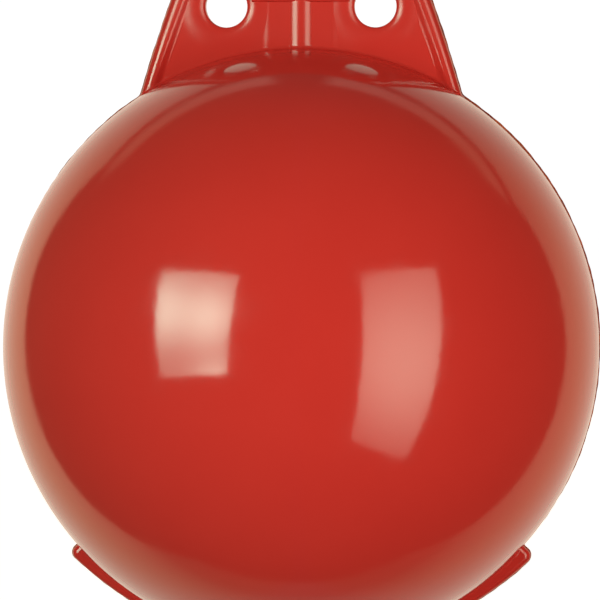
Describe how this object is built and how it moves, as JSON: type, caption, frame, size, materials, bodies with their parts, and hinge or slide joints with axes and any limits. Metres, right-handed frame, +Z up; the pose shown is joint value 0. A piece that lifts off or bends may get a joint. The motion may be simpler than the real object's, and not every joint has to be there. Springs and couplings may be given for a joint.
{
  "type": "marker buoy",
  "caption": "Round hollow plastic ball float in two welded half shells, with a flat two-eyed lug on top and a low keel rim below.",
  "frame": {"origin": "on the float's upright axis, at the level of the water it floats in with nothing tied to it, 55 mm below the ball's centre", "axes": "+Z up through the lug, X across the lug from eye to eye, Y through the eyes with the front half shell towards -Y"},
  "size_m": [0.2012, 0.2, 0.2362],
  "materials": {
    "shell_plastic": "glossy moulded red",
    "bead_plastic": "darker red where the plastic was melted"
  },
  "bodies": {
    "root": {"front_half_shell": "shell_plastic", "rear_half_shell": "shell_plastic", "weld_bead_left": "bead_plastic", "weld_bead_right": "bead_plastic"}
  },
  "joints": []
}
